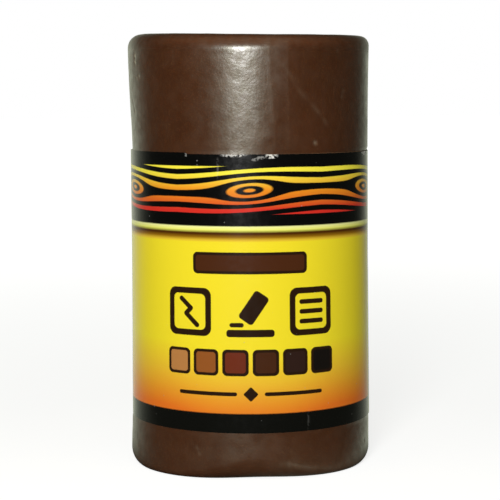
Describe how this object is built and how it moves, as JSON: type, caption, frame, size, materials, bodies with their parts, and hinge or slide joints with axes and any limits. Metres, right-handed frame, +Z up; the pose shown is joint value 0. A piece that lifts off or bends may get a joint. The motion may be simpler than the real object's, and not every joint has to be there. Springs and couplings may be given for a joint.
{
  "type": "furniture repair wax stick",
  "caption": "Round stick of soft filler wax for repairing furniture, with rounded ends and a printed paper label wrapped, glued and lapped round its middle.",
  "frame": {"origin": "centre of the wax stick's base, on the surface that it stands on", "axes": "+Z up the stick, -Y out of the front of the label, with the label's seam at the back on +Y"},
  "size_m": [0.0258, 0.0258, 0.0452],
  "materials": {
    "wax": "cast soft wax, dark brown, slightly greasy satin",
    "adhesive": "clear pressure-sensitive adhesive film",
    "label_paper": "coated label paper, printed black, yellow and orange, satin"
  },
  "bodies": {
    "root": {"wax_stick": "wax", "label_adhesive": "adhesive", "printed_label": "label_paper"}
  },
  "joints": []
}
